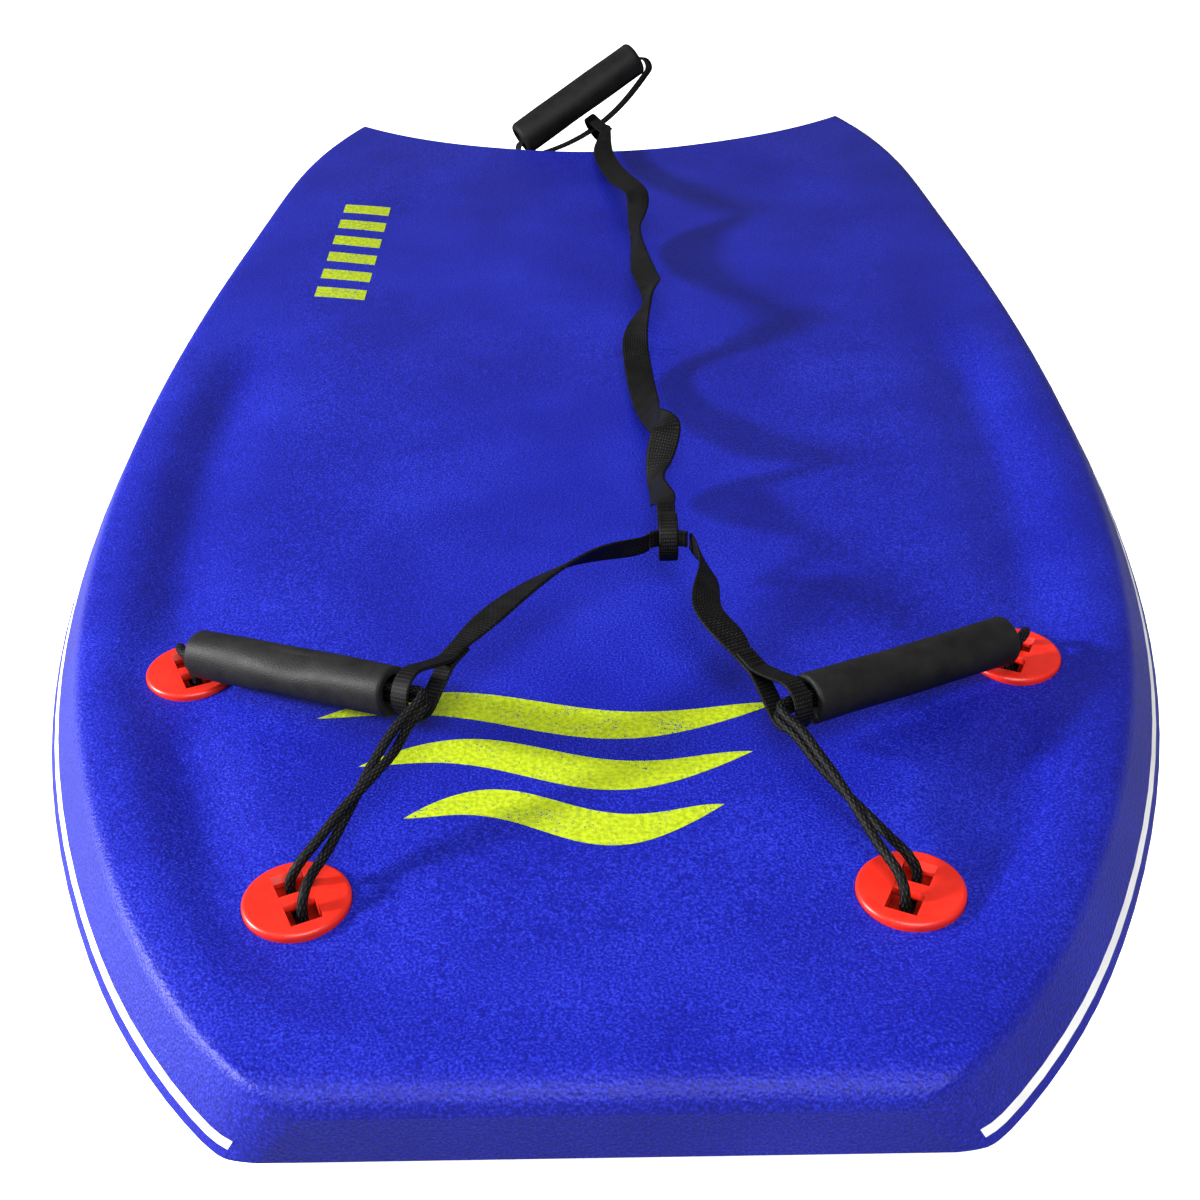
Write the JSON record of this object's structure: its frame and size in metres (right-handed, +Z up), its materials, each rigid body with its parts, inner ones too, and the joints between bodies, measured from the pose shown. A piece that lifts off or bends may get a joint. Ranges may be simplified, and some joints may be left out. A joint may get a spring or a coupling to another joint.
{
  "type": "bodyboard",
  "caption": "Bodyboard with crescent tail, moulded deck, hand loops on screwed cord plugs, webbing bridle and a tow strap with a foam grip.",
  "frame": {"origin": "on the centre line of the flat underside, 520 mm behind the nose", "axes": "+Y from nose to tail, +X to the right seen from the nose, +Z up"},
  "size_m": [0.5602, 1.0581, 0.1093],
  "materials": {
    "core_foam": "closed-cell foam",
    "deck_foam": "fine pebbled foam",
    "rail_foam": "smooth foam",
    "white_foam": "smooth foam",
    "slick": "smooth glossy",
    "lime_ink": "printed ink",
    "plug_plastic": "satin moulded",
    "black_cord": "braided",
    "black_webbing": "woven",
    "black_thread": "thread",
    "grip_foam": "satin foam"
  },
  "bodies": {
    "board": {"core": "core_foam", "deck_skin": "deck_foam", "slick_bottom": "slick", "tail_strip": "deck_foam", "front_print": "lime_ink", "rear_print": "lime_ink", "rail_stripe_left": "white_foam", "rail_stripe_right": "white_foam", "lower_rail_left": "rail_foam", "lower_rail_right": "rail_foam", "plug_bottom_front_left": "plug_plastic", "plug_bottom_front_right": "plug_plastic", "plug_bottom_outer_left": "plug_plastic", "plug_bottom_outer_right": "plug_plastic", "plug_top_front_left": "plug_plastic", "plug_top_front_right": "plug_plastic", "plug_top_outer_left": "plug_plastic", "plug_top_outer_right": "plug_plastic"},
    "handle_left": {"handle_cord_left": "black_cord"},
    "handle_right": {"handle_cord_right": "black_cord"},
    "grip_left": {"handle_grip_left": "grip_foam"},
    "grip_right": {"handle_grip_right": "grip_foam"},
    "bridle_left": {"bridle_webbing_left": "black_webbing", "bridle_stitching_left": "black_thread"},
    "bridle_right": {"bridle_webbing_right": "black_webbing", "bridle_stitching_right": "black_thread"},
    "bridle_middle": {"bridle_webbing_middle": "black_webbing"},
    "tow_line": {"tow_strap": "black_webbing", "tow_front_stitching": "black_thread", "tow_rear_stitching": "black_thread"},
    "tow_loop": {"tow_handle_webbing": "black_webbing"},
    "tow_grip": {"tow_grip": "grip_foam"}
  },
  "joints": [
    {"name": "handle_left_swing", "type": "hinge", "parent": "board", "child": "handle_left", "pos_m": [-0.187, -0.267, 0.047], "axis": [0.4162, -0.9092, 0.0118], "range_deg": [-5, 20]},
    {"name": "handle_right_swing", "type": "hinge", "parent": "board", "child": "handle_right", "pos_m": [0.187, -0.267, 0.047], "axis": [0.4162, 0.9092, -0.0118], "range_deg": [-5, 20]},
    {"name": "bridle_left_turn", "type": "hinge", "parent": "handle_left", "child": "bridle_left", "pos_m": [-0.072, -0.341, 0.0845], "axis": [0.7512, -0.6581, 0.051], "range_deg": [-26.5, 7]},
    {"name": "bridle_middle_turn", "type": "hinge", "parent": "bridle_left", "child": "bridle_middle", "pos_m": [0.032, -0.208, 0.078], "axis": [0.9553, 0.07, 0.2871], "range_deg": [-3, 12]},
    {"name": "bridle_right_turn", "type": "hinge", "parent": "handle_right", "child": "bridle_right", "pos_m": [0.073, -0.342, 0.075], "axis": [-0.7299, -0.6209, 0.286], "range_deg": [-7, 28]},
    {"name": "tow_line_lift", "type": "hinge", "parent": "bridle_middle", "child": "tow_line", "pos_m": [0.032, -0.208, 0.078], "axis": [1, 0, 0], "range_deg": [0, 120]},
    {"name": "tow_handle_swing", "type": "hinge", "parent": "tow_line", "child": "tow_loop", "pos_m": [-0.00332, 0.50319, 0.04693], "axis": [0.8172, 0.3538, 0.4549], "range_deg": [-80, 0]},
    {"name": "tow_grip_spin", "type": "hinge", "parent": "tow_loop", "child": "tow_grip", "pos_m": [-0.0175, 0.505, 0.071], "axis": [0.8172, 0.3538, 0.4549], "continuous": true},
    {"name": "grip_left_spin", "type": "hinge", "parent": "handle_left", "child": "grip_left", "pos_m": [-0.132, -0.305, 0.073], "axis": [0.8477, -0.505, 0.1623], "continuous": true},
    {"name": "grip_right_spin", "type": "hinge", "parent": "handle_right", "child": "grip_right", "pos_m": [0.132, -0.305, 0.0685], "axis": [-0.8548, -0.5092, 0.1], "continuous": true}
  ],
  "couplings": [
    {"joint": "handle_right_swing", "follows": "handle_left_swing", "ratio": 1},
    {"joint": "bridle_left_turn", "follows": "handle_left_swing", "ratio": -1.2996},
    {"joint": "bridle_middle_turn", "follows": "handle_left_swing", "ratio": 0.5603},
    {"joint": "bridle_right_turn", "follows": "handle_left_swing", "ratio": 1.3817}
  ]
}
